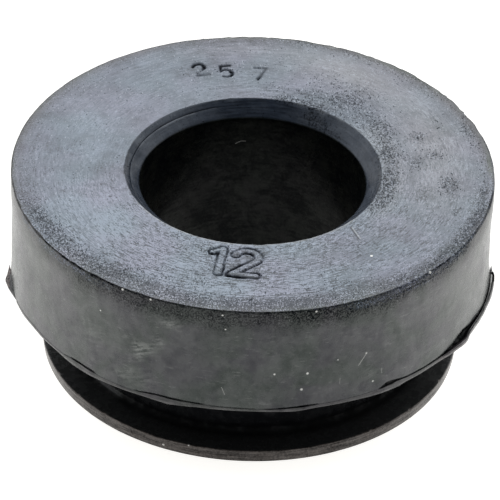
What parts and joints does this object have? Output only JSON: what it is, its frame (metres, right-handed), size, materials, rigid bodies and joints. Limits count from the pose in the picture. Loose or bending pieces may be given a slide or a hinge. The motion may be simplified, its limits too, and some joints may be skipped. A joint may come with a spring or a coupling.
{
  "type": "rubber grommet",
  "caption": "Round moulded rubber panel grommet with a thick upper flange, a panel groove, a thin retaining lip and a countersunk through bore.",
  "frame": {"origin": "centre of the bore on the underside, which is the face it stands on", "axes": "+Z along the bore axis towards the thick flange, +X towards the long run of untrimmed flash"},
  "size_m": [0.0412, 0.0406, 0.0174],
  "materials": {
    "rubber": "matt black moulded rubber, dusty grey on the top face, worn along its outer edge"
  },
  "bodies": {
    "root": {"grommet": "rubber"}
  },
  "joints": []
}
